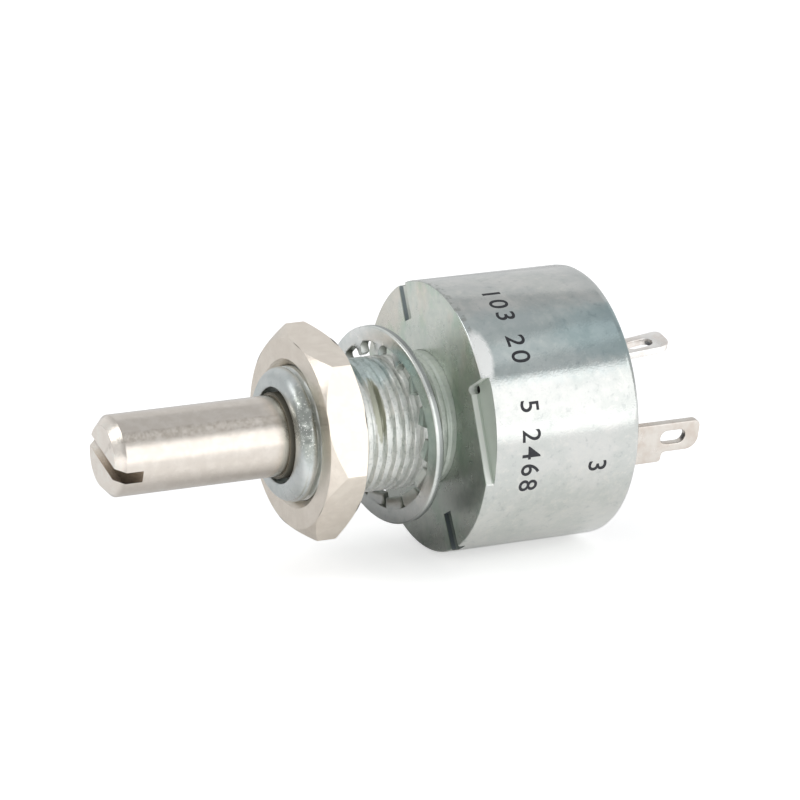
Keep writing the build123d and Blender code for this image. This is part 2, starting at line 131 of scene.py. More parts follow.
WASHER_R = 7.45
WASHER_RIM = 1.15
WASHER_THICK = 0.65
WASHER_OUTER_ROUND = 0.14
WASHER_INNER_ROUND = 0.08
WASHER_TEETH = 15
TOOTH_ROOT = 1.8
TOOTH_TIP = 1.25
TOOTH_TIP_R = 5.42
TOOTH_TWIST = -22.0
WASHER_AT = (3.53, 0.1, -0.18)
WASHER_LEAN = (0.0, 2.7, 7.4)                    # degrees about X, Y and Z

NOTCH_WIDTH = 1.2
NOTCH_DEPTH = 0.6
NOTCH_REACH = 2.8
NOTCH_ANGLES = (336.0, 152.0)
RECESS_DEPTH = 0.65
RECESS_START = 61.0
RECESS_END = 107.0
RECESS_REACH = 2.17
KEY_HOLE_D = 0.6
KEY_HOLE_DEPTH = 1.0
CUT_FROM = 1.0                                   # the cutters start this far ahead of the face they cut

LUG_ANGLES = (284.0, 14.0, 104.0)
LUG_FACES = (8.003, 4.25, 8.003)                 # radius of each lug's outer face
LUG_SHIFTS = (-0.12, 1.0, 0.12)
LUG_SIDES = (-1, -1, 1)
LUG_BENDS = (0.0, 8.0, 0.0)
LUG_THICK = 0.6
LUG_WIDTH = 3.2
LUG_NECK = 2.4
LUG_REACH = 6.2
LUG_STEP_REACH = 3.2
LUG_STEP_ROUND = 0.3
LUG_CORNERS = (0.55, 1.0)                        # the tip's two roundings, going round with the angle
LUG_EDGE = 0.09
EYE_LENGTH = 2.1
EYE_WIDTH = 1.1
EYE_REACH = 4.0
# Each lug's tone; the middle lug's is painted light
LUG_TONES_MIDDLE_LIT = ((0.76, 0.71, 0.67), (0.97, 0.95, 0.92), (0.74, 0.70, 0.65))

# Digits: name, text, place of their middle along the case, and its angle
MARKS = (
    ("digits_value", "103", -3.6, 26.0), ("digits_tolerance", "20", -3.5, 50.0),
    ("digits_batch", "5 2468", -3.4, 92.0), ("digit_lug", "3", -9.0, 104.0),
)

# Patches of the finishes and of painted light and shade; on the washer, the front face and the nut, a radius
# stands for the place along
WASHER_SHADE = Spot(WASHER_R - 0.6, 66.0, 1.6, 44.0, 0.5)
THREAD_BLUE = Spot(5.6, 15.0, 1.6, 26.0, 0.6)
THREAD_FLAT_SHADE = Spot(6.05, 62.0, 0.46, 30.0, 0.25)
NICK_STAIN = Spot(NOSE_NICK.at, NOSE_NICK.angle, 0.75, 34.0, 0.5)
CASE_BLUE = Spot(-6.0, 47.0, 14.0, 17.0, 0.6)
CASE_CLOUDS = Spot(-7.0, 30.0, 11.0, 38.0, 0.7)
CASE_UNDERSIDE = Spot(-6.3, 150.0, 12.0, 42.0, 0.7)
CASE_DARK = Spot(-11.5, 46.0, 4.5, 13.0, 0.6)
RIM_HIGHLIGHT_SPOT = Spot(-0.5, 51.0, 0.8, 11.5, 0.5)
FACE_SHADE = Spot(7.2, 84.0, 3.2, 42.0, 0.7)
NUT_SHADE = Spot(6.0, 78.0, 1.0, 32.0, 0.7)
SHAFT_DARK_REFLECTION = Spot(18.0, 51.0, 14.0, 8.0, 0.6)

# Colours of the finishes and of painted light and shade
WASHER_PLATE = (0.66, 0.67, 0.66)
WASHER_SHADE_GREEN = (0.60, 0.68, 0.64)
WASHER_RIM_DULL = (0.84, 0.85, 0.83)
WASHER_RIM_BACK_SHADE = (0.34, 0.36, 0.35)
TOOTH_GAP_SHADE = (0.13, 0.14, 0.11)
THREAD_PLATE = (0.78, 0.79, 0.76)
NOSE_PLATE = (0.68, 0.71, 0.705)
THREAD_SCUFF = (0.46, 0.49, 0.46)
THREAD_BLUISH = (0.70, 0.79, 0.81)
THREAD_OLIVE_SHADE = (0.42, 0.43, 0.35)
THREAD_PAINTED_LIGHT = (0.95, 0.96, 0.93)
THREAD_FOOT_SHADE = (0.74, 0.79, 0.74)
NICK_DARK = (0.27, 0.29, 0.25)
NICK_BARE = (0.85, 0.86, 0.82)
CASE_PLATE = (0.65, 0.655, 0.635)
CASE_BLUISH = (0.93, 1.0, 1.02)
CASE_CLOUD = (0.86, 0.88, 0.89)
CASE_UNDERSIDE_SHADE = (0.85, 0.855, 0.84)
CASE_STAIN = (0.74, 0.82, 0.84)
CASE_CHIP = (0.36, 0.38, 0.36)
RIM_HIGHLIGHT_PALE = (0.88, 0.885, 0.87)
FACE_PLATE = (0.70, 0.735, 0.68)
FACE_PINK = (1.08, 1.0, 0.98)
FACE_SHADE_TONE = (0.68, 0.70, 0.68)
FACE_GREEN = (0.90, 0.97, 0.92)
RECESS_FLOOR = (0.48, 0.53, 0.47)
RECESS_WALL = (0.72, 0.74, 0.70)
UPPER_NOTCH_FLOOR_LIT = (0.92, 0.94, 0.90)
UPPER_NOTCH_WALL_SHADE = (0.30, 0.34, 0.36)
LOWER_NOTCH_FLOOR_SHADE = (0.22, 0.25, 0.23)
LOWER_NOTCH_WALL_SHADE = (0.12, 0.14, 0.15)
KEY_HOLE_SHADE = (0.06, 0.06, 0.055)
NUT_PLATE = (0.83, 0.755, 0.665)
NUT_SHADOW = (0.50, 0.46, 0.38)
SHAFT_PLATE = (0.70, 0.645, 0.585)
TIP_LIT_PLATE = (0.96, 0.89, 0.81)
SHAFT_REFLECTED_DARK = (0.40, 0.36, 0.30)
SHAFT_MOUTH_SHADE = (0.34, 0.31, 0.24)
JOURNAL_SHADE_DARK = (0.15, 0.14, 0.11)
INK = (0.012, 0.013, 0.018)
THIN_INK = (0.06, 0.065, 0.075)
WHITE = (1.0, 1.0, 1.0, 1.0)

# The photograph's viewpoint in metres, and its lens and sensor in millimetres
EYE = (0.14561, 0.29014, 0.08483)
SIGHT = (-0.4292, -0.8681, -0.2493)
LENS = 203.65
SENSOR = 36.0
CLIP = (0.01, 20.0)                              # the nearest and furthest that it sees, in metres

# The studio's surroundings and the front wall of light, in metres
ROOM_COLOUR = (0.98, 0.99, 1.0, 1.0)
ROOM_STRENGTH = 0.62
FLOOR_PALE = (0.9, 0.9, 0.9, 1.0)
FLOOR_ROUGH = 0.9
FLOOR_GAP = 0.3 * MM
FLOOR_HALF = 3.0
WALL_TOP = 0.603
WALL_LOW = -0.005


def place(x, r, angle):
    """A point in metres from a place along the shaft, a radius and an angle, in millimetres and degrees."""
    turn = radians(angle)
    return Vector((x, r * sin(turn), r * cos(turn))) * MM


def tint(base, red=1.0, green=1.0, blue=1.0):
    """A colour with each of its parts scaled, and a full alpha."""
    return base[0] * red, base[1] * green, base[2] * blue, 1.0


def washer_lean():
    """The lock washer's lean as it hangs on the thread."""
    lean = Matrix.Identity(4)
    for axis, angle in zip("XYZ", WASHER_LEAN):
        lean = lean @ Matrix.Rotation(radians(angle), 4, axis)
    return lean


class Wire:
    """A socket's value in a tree of nodes, with Python's operators for its maths."""

    def __init__(self, nodes, socket):
        self.nodes = nodes
        self.socket = socket

    def maths(self, operation, *others):
        """The value put through a maths node, with any other values it needs."""
        return self.nodes.add("ShaderNodeMath", {"operation": operation}, [self, *others])

    def __add__(self, other):
        return self.maths("ADD", other)

    __radd__ = __add__

    def __mul__(self, other):
        return self.maths("MULTIPLY", other)

    __rmul__ = __mul__

    def __sub__(self, other):
        return self.maths("SUBTRACT", other)

    def __rsub__(self, other):
        return self.nodes.add("ShaderNodeMath", {"operation": "SUBTRACT"}, [other, self])

    def __truediv__(self, other):
        return self.maths("DIVIDE", other)

    def __pow__(self, other):
        return self.maths("POWER", other)

    def __abs__(self):
        return self.maths("ABSOLUTE")

    def step(self, low, high):
        """A smooth step from 0 at low to 1 at high."""
        settings = {"interpolation_type": "SMOOTHSTEP"}
        return self.nodes.add("ShaderNodeMapRange", settings, [self, low, high, 0.0, 1.0])

    def ramp(self, low, high, start, end):
        """The value moved from low..high to start..end, and held at the ends."""
        return self.nodes.add("ShaderNodeMapRange", {}, [self, low, high, start, end])


class Nodes:
    """A tree of nodes and the one method that adds to it."""

    def __init__(self, tree):
        self.tree = tree

    def add(self, kind, settings, values, output=0):
        """Adds a node: its settings come first, then its sockets' values or links."""
        node = self.tree.nodes.new(kind)
        for name, setting in settings.items():
            setattr(node, name, setting)
        pairs = values.items() if isinstance(values, dict) else enumerate(values)
        for key, value in pairs:
            if isinstance(value, Wire):
                self.tree.links.new(value.socket, node.inputs[key])
            else:
                node.inputs[key].default_value = value
        return Wire(self, node.outputs[output])

    def show(self, surface, output, unused):
        """Joins a shader to the tree's output and takes the unused first shader away."""
        self.tree.links.new(surface.socket, self.tree.nodes[output].inputs["Surface"])
        self.tree.nodes.remove(self.tree.nodes[unused])


class Paint(Nodes):
    """A material whose finish is built up over the object's own coordinates."""

    def __init__(self, name):
        self.material = bpy.data.materials.new(name)
        self.material.use_nodes = True
        super().__init__(self.material.node_tree)
        self.spot = self.add("ShaderNodeTexCoord", {}, [], "Object")
        parts = self.add("ShaderNodeSeparateXYZ", {}, [self.spot]).socket.node.outputs
        self.x, self.y, self.z = [Wire(self, socket) for socket in parts]

    def stretched(self, across, up, along):
        """The object's coordinates scaled on each axis, for grain with a direction."""
        return self.add("ShaderNodeVectorMath", {"operation": "MULTIPLY"}, [self.spot, (across, up, along)])

    def noise(self, size, detail=3.0, roughness=0.55, vector=None):
        """Noise from 0 to 1 whose lumps are about size millimetres."""
        values = {"Vector": vector or self.spot, "Scale": 1 / (size * MM)}
        values.update({"Detail": detail, "Roughness": roughness})
        return self.add("ShaderNodeTexNoise", {}, values, "Fac")

    def around(self):
        """The radius from the shaft line in metres, and the turn round it in radians."""
        radius = (self.y * self.y + self.z * self.z) ** 0.5
        return radius, self.y.maths("ARCTAN2", self.z)

    def blend(self, factor, first, second, mode="MIX"):
        """A colour between two, by a factor; each is a colour's parts or a wire."""
        settings = {"data_type": "RGBA", "blend_type": mode}
        pair = [tint(colour) if isinstance(colour, tuple) else colour for colour in (first, second)]
        return self.add("ShaderNodeMix", settings, {0: factor, 6: pair[0], 7: pair[1]}, 2)

    def wash(self, factor, colour, over):
        """A colour multiplied by another, by a factor."""
        return self.blend(factor, colour, over, "MULTIPLY")

    def patch(self, along, turn, spot):
        """A ragged patch: 1 about a spot's place and angle, 0 past its reach and its spread in degrees."""
        far, beside = (along - spot.at) / spot.reach, (turn - radians(spot.angle)) / radians(spot.spread)
        edge = far * far + beside * beside + self.noise(0.5, 3.0) * 0.9 - 0.45
        return edge.step(1.0 + spot.soft, 1.0 - spot.soft)

    def zinc(self, base):
        """Clouded zinc about a base colour, and the height of its fine grain."""
        clouds, patches = self.noise(2.8, 4.0, 0.6), self.noise(0.6, 5.0, 0.65)
        specks, grain = self.noise(0.14, 2.0, 0.6), self.noise(0.05, 2.0, 0.5)
        dark = tint(base, 0.72, 0.75, 0.76)
        colour = self.blend(clouds.step(0.40, 0.60), tint(base), tint(base, 0.91, 0.93, 0.925))
        colour = self.blend(patches.step(0.50, 0.68) * 0.8, colour, tint(base, 1.05, 1.04, 1.025))
        colour = self.blend((1.0 - patches).step(0.56, 0.70) * 0.6, colour, dark)
        colour = self.blend(specks.step(0.62, 0.76) * 0.3, colour, dark)
        return colour, patches * 0.4 + specks * 0.4 + grain * 0.2

    def nickel(self, base, streaks):
        """Warm nickel about a base colour, with dull specks, and its turned or sawn marks."""
        marks = self.noise(1.0, 3.0, 0.6, self.stretched(*streaks))
        tone, specks = self.noise(0.9, 5.0, 0.65), self.noise(0.2, 4.0, 0.7)
        colour = self.blend(tone.step(0.4, 0.65), tint(base), tint(base, 1.07, 1.08, 1.09))
        return self.blend(specks.step(0.58, 0.75) * 0.4, colour, tint(base, 0.75, 0.75, 0.76)), marks

    def relief(self, height, depth):
        """A bump of depth millimetres from a height of 0 to 1."""
        return self.add("ShaderNodeBump", {}, {"Height": height, "Distance": depth * MM, "Strength": 1.0})

    def finish(self, **values):
        """Sets the surface's sockets and returns the material."""
        for name, value in values.items():
            socket = self.tree.nodes["Principled BSDF"].inputs[name.replace("_", " ")]
            if isinstance(value, Wire):
                self.tree.links.new(value.socket, socket)
            else:
                socket.default_value = value
        return self.material


def washer_zinc():
    """The lock washer's plate, with painted light and shade: brighter at the top, a greener painted shade at
    the side, painted shade on the back of its rim and between the teeth.
    """
    paint = Paint("zinc_washer")
    colour, height = paint.zinc(WASHER_PLATE)
    up, across = paint.z / MM - WASHER_AT[2], paint.y / MM - WASHER_AT[1]
    radius, turn = (across * across + up * up) ** 0.5, across.maths("ARCTAN2", up)
    # Painted light and shade: lighter toward the top, darker toward the bottom
    colour = paint.wash(1.0, colour, up.ramp(-7.0, -4.0, 0.55, 1.15) + up.ramp(-4.0, 7.0, 0.0, 0.3))
    facing = washer_lean().col[0].to_3d()
    product = {"operation": "DOT_PRODUCT"}
    ahead = paint.add("ShaderNodeVectorMath", product, [paint.spot, tuple(facing)], "Value")
    off_middle = ahead / MM - facing.dot(Vector(WASHER_AT))
    edge = radius.step(WASHER_R - 0.13, WASHER_R - 0.08)
    # Painted greener shade on the washer's side
    colour = paint.wash(paint.patch(radius, turn, WASHER_SHADE) * (1.0 - edge), colour, WASHER_SHADE_GREEN)
    colour = paint.wash(edge, colour, WASHER_RIM_DULL)
    # Painted shade over the back half of the rim's outer edge
    colour = paint.blend(edge * off_middle.step(0.14, 0.04), colour, WASHER_RIM_BACK_SHADE)
    # Painted shade between the teeth, less metallic there
    beside = (turn / radians(1.0)).maths("PINGPONG", 180 / WASHER_TEETH)
    rim_in = WASHER_R - WASHER_RIM
    tooth_gap_shade = beside.step(5.8, 8.0) * radius.step(rim_in + 0.1, rim_in - 0.05)
    colour = paint.blend(tooth_gap_shade * 0.85, colour, TOOTH_GAP_SHADE)
    rough = paint.noise(2.6, 4.0, 0.6).ramp(0.3, 0.7, 0.24, 0.36)
    return paint.finish(
        Base_Color=colour, Metallic=1.0 - tooth_gap_shade * 0.5, Roughness=rough, Normal=paint.relief(height, 0.012)
    )


def bushing_zinc():
    """The bushing's plate: scuffed on the thread, with painted olive shade on a worn flat near the nut,
    painted light toward its back and painted shade at its foot, and bluer and nicked at the nose.
    """
    paint = Paint("bushing_zinc")
    colour, height = paint.zinc(THREAD_PLATE)
    turn, along = paint.around()[1], paint.x / MM
    nose = along.step(BUSHING_REACH - 1.4, BUSHING_REACH - 1.0)
    colour = paint.blend(nose, colour, paint.zinc(NOSE_PLATE)[0])
    scuffs = paint.noise(0.35, 4.0, 0.7).step(0.5, 0.66) * along.step(8.0, 7.5)
    colour = paint.blend(scuffs * 0.55, colour, THREAD_SCUFF)
    colour = paint.wash(paint.patch(along, turn, THREAD_BLUE), colour, THREAD_BLUISH)
    # Painted olive shade over the worn flat near the nut
    colour = paint.blend(paint.patch(along, turn, THREAD_FLAT_SHADE), colour, THREAD_OLIVE_SHADE)
    # Painted light: the thread behind the washer is made paler and less metallic
    rear = along.step(3.8, 3.0)
    colour = paint.blend(rear * 0.3, colour, THREAD_PAINTED_LIGHT)
    # Painted greenish shade at the thread's foot, by the case
    colour = paint.wash(along.step(2.2, 0.5), colour, THREAD_FOOT_SHADE)
    nick = paint.patch(along, turn, NICK_STAIN)
    colour = paint.blend(nick * 0.7, colour, NICK_DARK)
    colour = paint.blend(nick * paint.noise(0.16, 2.0).step(0.6, 0.66), colour, NICK_BARE)
    return paint.finish(
        Base_Color=colour, Metallic=0.75 + nose * 0.25 - rear * 0.3, Normal=paint.relief(height, 0.016),
        Roughness=paint.noise(2.6, 4.0, 0.6).ramp(0.3, 0.7, 0.38, 0.5) - nose * 0.12,
    )


def front_face_zinc(paint, turn, radius, up, clouds):
    """The colour of the case's front: painted shade below and by the recess, pinker above, with green
    clouds.
    """
    shade = (up + clouds * 6.0).ramp(-7.0, 12.0, 0.42, 1.15)
    colour = paint.wash(1.0, paint.zinc(FACE_PLATE)[0], shade)
    colour = paint.wash(paint.noise(4.0, 2.0).step(0.45, 0.6) * up.step(0.0, 6.0), colour, FACE_PINK)
    # Painted shade by the recess
    colour = paint.wash(paint.patch(radius, turn, FACE_SHADE), colour, FACE_SHADE_TONE)
    return paint.wash(paint.noise(3.0, 3.0, 0.6).step(0.48, 0.64), colour, FACE_GREEN)


def case_zinc():
    """The case's plate: greener on its front, painted light and shade in the recesses and notches, bluer
    above the middle, painted shade underneath, and a painted highlight on a worn spot of its rim.
    """
    paint = Paint("case_zinc")
    colour, height = paint.zinc(CASE_PLATE)
    radius, turn = paint.around()
    radius, along, up = radius / MM, paint.x / MM, paint.z / MM
    clouds = paint.noise(2.6, 4.0, 0.6)
    colour = paint.wash(paint.patch(along, turn, CASE_BLUE), colour, CASE_BLUISH)
    cloudy = paint.noise(3.4, 3.0, 0.6).step(0.42, 0.62) * paint.patch(along, turn, CASE_CLOUDS)
    colour = paint.wash(cloudy, colour, CASE_CLOUD)
    # Painted shade on the underside
    colour = paint.wash(paint.patch(along, turn, CASE_UNDERSIDE), colour, CASE_UNDERSIDE_SHADE)
    colour = paint.wash(paint.patch(along, turn, CASE_DARK), colour, CASE_STAIN)
    chipped = paint.noise(0.6, 3.0, 0.7).step(0.5, 0.58) * along.step(-0.6, -0.4) * up.step(1.0, 5.0)
    colour = paint.blend(chipped * 0.7, colour, CASE_CHIP)
    within_rim = radius.step(CASE_R - 0.05, CASE_R - 0.12)
    in_face = along.step(-0.62, -0.58) * within_rim
    colour = paint.blend(in_face, colour, front_face_zinc(paint, turn, radius, up, clouds))
    in_recess = abs(paint.y / MM).step(6.5, 7.0)
    # Painted light and shade in the hollows: the recess painted paler, the upper notch's floor painted
    # light, the lower notch's floor and the notches' walls painted shade
    inside = along.step(-0.04, -0.08) * along.step(-1.3, -1.2) * within_rim
    sunk = inside * (in_recess.ramp(0.0, 1.0, -0.36, -0.45) - along).step(0.0, 0.04)
    floors = paint.blend(up.step(5.0, 8.0), RECESS_FLOOR, UPPER_NOTCH_FLOOR_LIT)
    floors = paint.blend(up.step(-3.0, -8.0), floors, LOWER_NOTCH_FLOOR_SHADE)
    walls = paint.blend(up.step(-2.0, 2.0), LOWER_NOTCH_WALL_SHADE, UPPER_NOTCH_WALL_SHADE)
    walls = paint.blend(in_recess, walls, RECESS_WALL)
    colour = paint.blend(inside, colour, paint.blend(sunk, walls, floors))
    # Painted shade in the key hole
    colour = paint.blend(sunk * along.step(-0.7, -0.74), colour, KEY_HOLE_SHADE)
    # A worn spot on the front rim, painted as a pale highlight: paler, less metallic and rougher
    worn_rim_highlight = paint.patch(along, turn, RIM_HIGHLIGHT_SPOT) * radius.step(CASE_R - 0.2, CASE_R - 0.1)
    colour = paint.blend(worn_rim_highlight * 0.85, colour, RIM_HIGHLIGHT_PALE)
    return paint.finish(
        Base_Color=colour, Metallic=1.0 - worn_rim_highlight * 0.7 - inside * 0.6, Normal=paint.relief(height, 0.012),
        Roughness=clouds.ramp(0.3, 0.7, 0.05, 0.12) + in_face * 0.2 + inside * 0.25 + worn_rim_highlight * 0.2,
    )


def nut_nickel():
    """The nut's plate, with the nose's soft shade on its face."""
    paint = Paint("nickel_nut")
    colour, marks = paint.nickel(NUT_PLATE, (60, 500, 500))
    radius, turn = paint.around()
    on_face = (paint.x / MM).step(NUT_FACE - 0.1, NUT_FACE)
    colour = paint.blend(paint.patch(radius / MM, turn, NUT_SHADE) * on_face * 0.7, colour, NUT_SHADOW)
    return paint.finish(
        Base_Color=colour, Metallic=1.0, Normal=paint.relief(marks, 0.004),
        Roughness=marks.ramp(0.3, 0.7, 0.2, 0.34),
    )


def shaft_nickel():
    """The shaft's plate: painted light over the tip, a speckled painted dark reflection along its top, and
    painted shade toward the bushing's mouth and over its journal.
    """
    paint = Paint("nickel_shaft")
    turned_marks = (900, 60, 60)
    colour, marks = paint.nickel(SHAFT_PLATE, turned_marks)
    along = paint.x / MM
    radius, turn = paint.around()
    # Painted light: a paler copy of the nickel over the tip's chamfer and face
    tip = along.step(SHAFT_REACH - TIP_CHAMFER, SHAFT_REACH - TIP_CHAMFER / 2)
    colour = paint.blend(tip, colour, paint.nickel(TIP_LIT_PLATE, turned_marks)[0])
    # A painted dark reflection along the shaft's top, broken into speckles
    speckled_dark_reflection = paint.patch(along, turn, SHAFT_DARK_REFLECTION) * paint.noise(0.55, 5.0, 0.75).step(0.35, 0.7)
    colour = paint.blend(speckled_dark_reflection * 0.6, colour, SHAFT_REFLECTED_DARK)
    # Painted brown shade on the shaft as it nears the bushing's mouth
    colour = paint.blend(along.step(BUSHING_REACH + 1.3, BUSHING_REACH + 0.1) * 0.6, colour, SHAFT_MOUTH_SHADE)
    # Painted dark shade over the journal, which shows in the bushing's mouth; less metallic and rougher
    # there
    journal_shaded = (radius / MM).step(SHAFT_R + 0.01, SHAFT_R + 0.03)
    colour = paint.blend(journal_shaded, colour, JOURNAL_SHADE_DARK)
    return paint.finish(
        Base_Color=colour, Metallic=1.0 - journal_shaded * 0.6, Normal=paint.relief(marks, 0.003),
        Roughness=marks.ramp(0.3, 0.7, 0.09, 0.16) + tip * 0.1 + journal_shaded * 0.4,
    )


def tinned_brass(name, base):
    """Hot-tinned lug: soft, slightly lumpy and warm, with browner patches."""
    paint = Paint(name)
    lumps = paint.noise(0.8, 2.0, 0.5)
    stain = paint.noise(1.7, 4.0, 0.6)
    colour = paint.blend(stain.step(0.42, 0.7), base, tint(base, 0.87, 0.82, 0.79))
    return paint.finish(
        Base_Color=colour, Metallic=1.0, Roughness=lumps.ramp(0.3, 0.7, 0.26, 0.38),
        Normal=paint.relief(lumps, 0.03),
    )


def moulded(name, colour, rough=0.5):
    """A moulded or poured dark plastic with a faint mottle."""
    paint = Paint(name)
    mottle = paint.noise(0.6, 4.0, 0.6)
    lighter = tuple(min(1.0, part * 1.5 + 0.01) for part in colour)
    shade = paint.blend(mottle.step(0.35, 0.75), colour, lighter)
    return paint.finish(
        Base_Color=shade, Roughness=mottle.ramp(0.3, 0.7, rough - 0.08, rough + 0.08),
        Normal=paint.relief(mottle, 0.02),
    )


def metal(name, colour, rough=0.3):
    """A plain small metal part with faint drawn lines."""
    paint = Paint(name)
    lines = paint.noise(1.0, 3.0, 0.6, paint.stretched(40, 900, 900))
    shade = paint.blend(lines.step(0.4, 0.7), colour, tint(colour, 0.8, 0.8, 0.8))
    return paint.finish(
        Base_Color=shade, Metallic=1.0, Roughness=lines.ramp(0.3, 0.7, rough - 0.06, rough + 0.06),
        Normal=paint.relief(lines, 0.004),
    )


def marking_ink():
    """Black stamped ink, thin in places."""
    paint = Paint("marking_ink")
    thin = paint.noise(0.25, 3.0, 0.6)
    colour = paint.blend(thin.step(0.55, 0.8), INK, THIN_INK)
    return paint.finish(Base_Color=colour, Roughness=thin.ramp(0.3, 0.7, 0.45, 0.6))


def piece_from(name, mesh, material, body, slot, *replaced):
    """Makes an object of a mesh, smooths it, gives it its finish and lets it ride on its body."""
    made = bmesh.new()
    made.from_mesh(mesh)
    bmesh.ops.remove_doubles(made, verts=made.verts, dist=1e-7)
    bmesh.ops.recalc_face_normals(made, faces=made.faces)
    made.to_mesh(mesh)
    made.free()
    for face in mesh.polygons:
        face.use_smooth = True
    mesh.set_sharp_from_angle(angle=radians(SMOOTH_ANGLE))
    mesh.materials.clear()
    mesh.materials.append(material)
    piece = bpy.data.objects.new(name, mesh)
    bpy.context.scene.collection.objects.link(piece)
    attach(piece, body)
    if replaced:
        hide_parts(*replaced)
    return piece


def skin(name, rings, looped=True):
    """A mesh over rings of equally many points; a looped one joins its last ring to its first."""
    count = len(rings[0])
    points = [point for ring in rings for point in ring]
    faces = []
    for row in range(len(rings) if looped else len(rings) - 1):
        here, there = row * count, (row + 1) % len(rings) * count
        for column in range(count):
            beside = (column + 1) % count
            faces.append((here + column, here + beside, there + beside, there + column))
    if not looped:
        faces += [tuple(reversed(range(count))), tuple(range(len(points) - count, len(points)))]
    mesh = bpy.data.meshes.new(name)
    mesh.from_pydata(points, [], faces)
    return mesh


def softened(corners, steps=4):
    """An outline of (x, r, round) corners with each corner turned into an arc of its own radius."""
    outline = []
    for index, (x, r, radius) in enumerate(corners):
        here = Vector((x, r))
        before = Vector(corners[index - 1][:2]) - here
        after = Vector(corners[(index + 1) % len(corners)][:2]) - here
        if radius <= 0:
            outline.append((x, r))
            continue
        half = before.angle(after) / 2
        reach = min(radius / tan(half), before.length * 0.49, after.length * 0.49)
        start, end = here + before.normalized() * reach, here + after.normalized() * reach
        for step in range(steps + 1):
            t = step / steps
            point = start * (1 - t) ** 2 + here * 2 * t * (1 - t) + end * t * t
            outline.append((point.x, point.y))
    return outline


def full_turn(segments):
    """Even angles all the way round, in degrees."""
    return [360 * step / segments for step in range(segments)]


def turned(name, corners, segments=SEGMENTS):
    """A closed outline of (x, r, round) corners turned about the shaft line."""
    turns = full_turn(segments)
    return skin(name, [[place(x, r, turn) for turn in turns] for x, r in softened(corners)])


def prism(name, outline, front, back):
    """A closed block over an outline of (across, up) points between two places along the shaft."""
    rings = [[Vector((x, across, up)) * MM for across, up in outline] for x in (back, front)]
    return skin(name, rings, looped=False)


def round_outline(across, up, radius, count=32):
    """A round outline about a point of the front's plane."""
    turns = [2 * pi * step / count for step in range(count)]
    return [(across + radius * sin(turn), up + radius * cos(turn)) for turn in turns]


def flat_point(r, angle):
    """A point of the front's plane, as (across, up), from a radius and an angle."""
    return r * sin(radians(angle)), r * cos(radians(angle))


def mesh_of(curve, name):
    """The mesh of a curve or of words."""
    holder = bpy.data.objects.new(name, curve)
    bpy.context.scene.collection.objects.link(holder)
    bpy.context.view_layer.update()
    mesh = bpy.data.meshes.new_from_object(holder.evaluated_get(bpy.context.evaluated_depsgraph_get()))
    mesh.name = name
    bpy.data.objects.remove(holder)
    return mesh


def cut(mesh, *cutters):
    """The mesh with the cutters taken out of it."""
    body = bpy.data.objects.new("cut_body", mesh)
    bpy.context.scene.collection.objects.link(body)
    tools = []
    for cutter in cutters:
        shape = bmesh.new()
        shape.from_mesh(cutter)
        bmesh.ops.recalc_face_normals(shape, faces=shape.faces)
        shape.to_mesh(cutter)
        shape.free()
        tool = bpy.data.objects.new("cut_tool", cutter)
        bpy.context.scene.collection.objects.link(tool)
        tools.append(tool)
        boolean = body.modifiers.new("cut", "BOOLEAN")
        boolean.operation = "DIFFERENCE"
        boolean.solver = "EXACT"
        boolean.object = tool
    bpy.context.view_layer.update()
    result = bpy.data.meshes.new_from_object(body.evaluated_get(bpy.context.evaluated_depsgraph_get()))
    result.name = mesh.name
    for used in (body, *tools):
        bpy.data.objects.remove(used)
    return result


def ease_edges(piece, width=EASE, steps=2):
    """Rounds the piece's sharp outward edges."""
    made = bmesh.new()
    made.from_mesh(piece.data)
    weight = made.edges.layers.float.new("bevel_weight_edge")
    for edge in made.edges:
        edge[weight] = float(edge.is_manifold and edge.calc_face_angle_signed() > radians(SHARP_ANGLE))
    made.to_mesh(piece.data)
    made.free()
    bevel = piece.modifiers.new("eased_edges", "BEVEL")
    bevel.width = width * MM
    bevel.segments = steps
    bevel.limit_method = "WEIGHT"
    bevel.harden_normals = True


def case():
    """The zinc cup: front wall with its notches and recesses, round wall and rolled rear rim."""
    base_back = CASE_BACK + LIP_THICK
    cup = turned("case_shell", [
        (0, BUSHING_HOLE_R, 0), (0, SKIN_R, CASE_FRONT_ROUND), (CASE_BACK, SKIN_R, CASE_REAR_ROUND),
        (CASE_BACK, LIP_R, LIP_ROUND), (base_back, LIP_R, 0), (base_back, CASE_BORE_R, 0),
        (-FACE_WALL, CASE_BORE_R, 0), (-FACE_WALL, BUSHING_HOLE_R, 0),
    ])
    cutters = [notch(angle) for angle in NOTCH_ANGLES]
    for turn in (0, 180):
        cutters += recess(turn)
    cup = cut(cup, *cutters)
    piece = piece_from("case_shell", cup, case_zinc(), "housing", "zinc_plated_case", "case")
    ease_edges(piece)


def notch(angle):
    """The cutter of a straight radial slot that runs out through the rim."""
    out, side = Vector(flat_point(1, angle)), Vector(flat_point(1, angle + 90))
    start, end, half = CASE_R - NOTCH_REACH, CASE_R + NOTCH_REACH, NOTCH_WIDTH / 2
    corners = [(start, -half), (end, -half), (end, half), (start, half)]
    outline = [tuple(out * far + side * beside) for far, beside in corners]
    return prism("notch", outline, CUT_FROM, -NOTCH_DEPTH)


